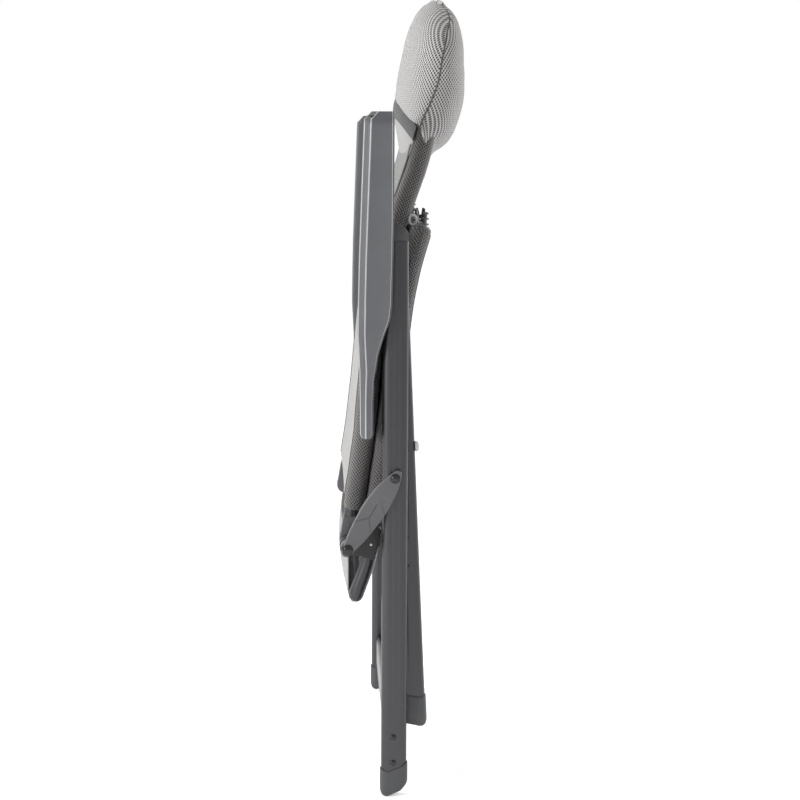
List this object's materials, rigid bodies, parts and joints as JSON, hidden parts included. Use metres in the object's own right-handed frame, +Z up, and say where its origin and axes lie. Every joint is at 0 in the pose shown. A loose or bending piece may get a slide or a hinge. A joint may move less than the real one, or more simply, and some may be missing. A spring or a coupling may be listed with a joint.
{
  "type": "folding camp chair",
  "caption": "Folding reclining camp chair with crossed tube legs, padded mesh seat and back, headrest and armrests, folded flat",
  "frame": {"origin": "middle of the folded chair's footprint box, on the floor under the rear feet", "axes": "+Z up along the rear legs, +X to the front of the sitter, +Y to the sitter's left"},
  "size_m": [0.1914, 0.6, 1.182],
  "materials": {
    "frame_tube": "anthracite, satin anodised",
    "dark_plastic": "dark grey, fine texture",
    "armrest_plastic": "mid grey, fine texture",
    "black_plastic": "black",
    "pale_plastic": "light grey",
    "rivet_steel": "black, domed",
    "spacer_mesh": "light grey 3-D spacer mesh",
    "webbing": "light grey woven"
  },
  "bodies": {
    "rear_frame": {"rear_leg_right": "frame_tube", "rear_leg_left": "frame_tube", "rear_foot_right": "dark_plastic", "rear_foot_left": "dark_plastic", "arm_hinge_head_right": "dark_plastic", "arm_hinge_head_left": "dark_plastic", "rear_bar_rivet_upper_right": "rivet_steel", "rear_bar_rivet_upper_left": "rivet_steel", "rear_bar_rivet_lower_right": "rivet_steel", "rear_bar_rivet_lower_left": "rivet_steel", "leg_pivot_bolt_right": "rivet_steel", "leg_pivot_bolt_left": "rivet_steel", "link_top_rivet_right": "rivet_steel", "link_top_rivet_left": "rivet_steel", "rear_bar": "frame_tube"},
    "front_frame": {"front_leg_right": "frame_tube", "front_leg_left": "frame_tube", "front_foot_right": "dark_plastic", "front_foot_left": "dark_plastic", "front_bar_rivet_upper_right": "rivet_steel", "front_bar_rivet_upper_left": "rivet_steel", "front_bar_rivet_lower_right": "rivet_steel", "front_bar_rivet_lower_left": "rivet_steel", "seat_stop_right": "pale_plastic", "seat_stop_left": "pale_plastic", "front_bar": "frame_tube"},
    "seat": {"seat_side_tube_right": "frame_tube", "seat_side_tube_left": "frame_tube", "seat_pivot_bolt_right": "rivet_steel", "seat_pivot_bolt_left": "rivet_steel", "seat_bracket_right": "black_plastic", "seat_bracket_left": "black_plastic", "seat_rear_bar": "frame_tube", "seat_front_bar": "frame_tube", "seat_pad": "spacer_mesh", "fold_strap": "webbing", "fold_buckle": "black_plastic"},
    "links": {"link_right": "dark_plastic", "link_left": "dark_plastic", "link_low_rivet_right": "rivet_steel", "link_low_rivet_left": "rivet_steel"},
    "back_pins": {"back_pivot_pin_right": "rivet_steel", "back_pivot_pin_left": "rivet_steel"},
    "backrest": {"back_side_tube_right": "frame_tube", "back_side_tube_left": "frame_tube", "back_lug_right": "dark_plastic", "back_lug_left": "dark_plastic", "back_lower_bar": "frame_tube", "back_top_bar": "frame_tube", "back_pad": "spacer_mesh", "headrest_strap": "webbing"},
    "headrest": {"headrest_cushion": "spacer_mesh"},
    "arm_sliders": {"arm_hinge_pin_right": "rivet_steel", "arm_hinge_pin_left": "rivet_steel", "arm_slider_right": "black_plastic", "arm_slider_left": "black_plastic"},
    "armrests": {"armrest_right": "armrest_plastic", "armrest_left": "armrest_plastic", "arm_rear_stud_right": "rivet_steel", "arm_rear_stud_left": "rivet_steel"}
  },
  "joints": [
    {"name": "leg_fold", "type": "hinge", "parent": "rear_frame", "child": "front_frame", "pos_m": [-0.01428, 0, 0.77], "axis": [0, -1, 0], "range_deg": [0, 53]},
    {"name": "seat_fold", "type": "hinge", "parent": "front_frame", "child": "seat", "pos_m": [-0.00823, 0, 0.63413], "axis": [0, -1, 0], "range_deg": [-92.64, 0]},
    {"name": "link_fold", "type": "hinge", "parent": "rear_frame", "child": "links", "pos_m": [-0.01428, 0, 0.48], "axis": [0, -1, 0], "range_deg": [-85.54, 0]},
    {"name": "back_fold", "type": "hinge", "parent": "seat", "child": "back_pins", "pos_m": [-0.08328, 0, 0.3744], "axis": [0, -1, 0], "range_deg": [0, 98.08]},
    {"name": "back_recline", "type": "hinge", "parent": "back_pins", "child": "backrest", "pos_m": [-0.08328, 0, 0.3744], "axis": [0, -1, 0], "range_deg": [0, 40]},
    {"name": "headrest_slide", "type": "slide", "parent": "backrest", "child": "headrest", "axis": [0.2425, 0, 0.9701], "range_m": [0, 0.06]},
    {"name": "arm_fold", "type": "hinge", "parent": "rear_frame", "child": "arm_sliders", "pos_m": [-0.04068, 0, 0.828], "axis": [0, -1, 0], "range_deg": [-46.59, 0]},
    {"name": "arm_slide", "type": "slide", "parent": "arm_sliders", "child": "armrests", "axis": [0, 0, -1], "range_m": [0, 0.11]}
  ],
  "couplings": [
    {"joint": "seat_fold", "follows": "leg_fold", "ratio": -1.7442},
    {"joint": "link_fold", "follows": "leg_fold", "ratio": -1.6103},
    {"joint": "back_fold", "follows": "leg_fold", "ratio": 1.8468},
    {"joint": "arm_fold", "follows": "leg_fold", "ratio": -0.87531},
    {"joint": "arm_slide", "follows": "back_recline", "m_per_rad": 0.1567}
  ]
}
